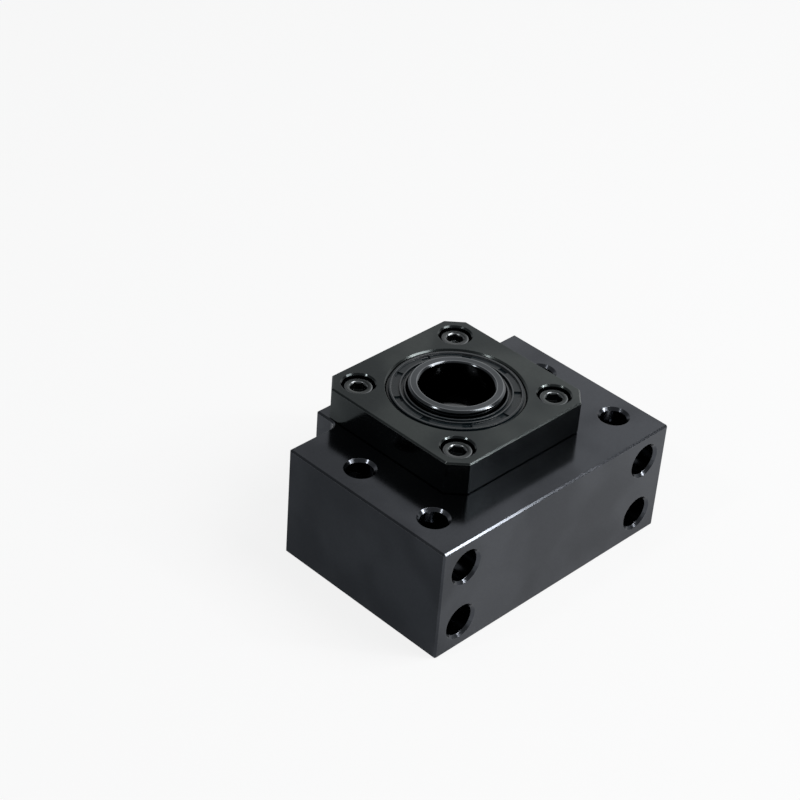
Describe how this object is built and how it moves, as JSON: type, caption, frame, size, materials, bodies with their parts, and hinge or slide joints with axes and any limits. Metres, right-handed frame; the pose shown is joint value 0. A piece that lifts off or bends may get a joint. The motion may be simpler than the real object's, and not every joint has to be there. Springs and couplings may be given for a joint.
{
  "type": "ball screw end support",
  "caption": "Fixed side end support of a ball screw: a steel block with a raised head, a screwed cover, shaft seals, spacer collars and angular contact ball bearings.",
  "frame": {"origin": "where the shaft axis meets the rear face of the housing, the face that lies on the table in the picture", "axes": "+Z along the shaft axis from the rear face towards the cover, -Y towards the mounting base, X across the width; the part rests on its rear face"},
  "size_m": [0.106, 0.08, 0.0562],
  "materials": {
    "housing_steel": "satin",
    "cover_steel": "satin",
    "screw_steel": "satin",
    "collar_steel": "gloss",
    "bearing_steel": "polished",
    "ball_steel": "polished",
    "spring_steel": "satin",
    "seal_rubber": "satin",
    "cage_plastic": "satin"
  },
  "bodies": {
    "housing": {"housing": "housing_steel", "bearing_cover": "cover_steel", "cover_screws": "screw_steel", "front_seal": "seal_rubber", "rear_seal": "seal_rubber", "front_seal_spring": "spring_steel", "rear_seal_spring": "spring_steel", "rear_bearing_outer_ring": "bearing_steel", "front_bearing_outer_ring": "bearing_steel"},
    "rotor": {"front_collar": "collar_steel", "rear_collar": "collar_steel", "rear_bearing_inner_ring": "bearing_steel", "front_bearing_inner_ring": "bearing_steel"},
    "rear_ball_set": {"rear_cage": "cage_plastic", "rear_ball_01": "ball_steel", "rear_ball_02": "ball_steel", "rear_ball_03": "ball_steel", "rear_ball_04": "ball_steel", "rear_ball_05": "ball_steel", "rear_ball_06": "ball_steel", "rear_ball_07": "ball_steel", "rear_ball_08": "ball_steel", "rear_ball_09": "ball_steel", "rear_ball_10": "ball_steel", "rear_ball_11": "ball_steel", "rear_ball_12": "ball_steel"},
    "front_ball_set": {"front_cage": "cage_plastic", "front_ball_01": "ball_steel", "front_ball_02": "ball_steel", "front_ball_03": "ball_steel", "front_ball_04": "ball_steel", "front_ball_05": "ball_steel", "front_ball_06": "ball_steel", "front_ball_07": "ball_steel", "front_ball_08": "ball_steel", "front_ball_09": "ball_steel", "front_ball_10": "ball_steel", "front_ball_11": "ball_steel", "front_ball_12": "ball_steel"}
  },
  "joints": [
    {"name": "rotor_spin", "type": "hinge", "parent": "housing", "child": "rotor", "pos_m": [0, 0, 0.024], "axis": [0, 0, 1], "continuous": true},
    {"name": "rear_balls_spin", "type": "hinge", "parent": "housing", "child": "rear_ball_set", "pos_m": [0, 0, 0.0165], "axis": [0, 0, 1], "continuous": true},
    {"name": "front_balls_spin", "type": "hinge", "parent": "housing", "child": "front_ball_set", "pos_m": [0, 0, 0.0315], "axis": [0, 0, 1], "continuous": true}
  ],
  "couplings": [
    {"joint": "rear_balls_spin", "follows": "rotor_spin", "ratio": 0.41072},
    {"joint": "front_balls_spin", "follows": "rotor_spin", "ratio": 0.41072}
  ]
}
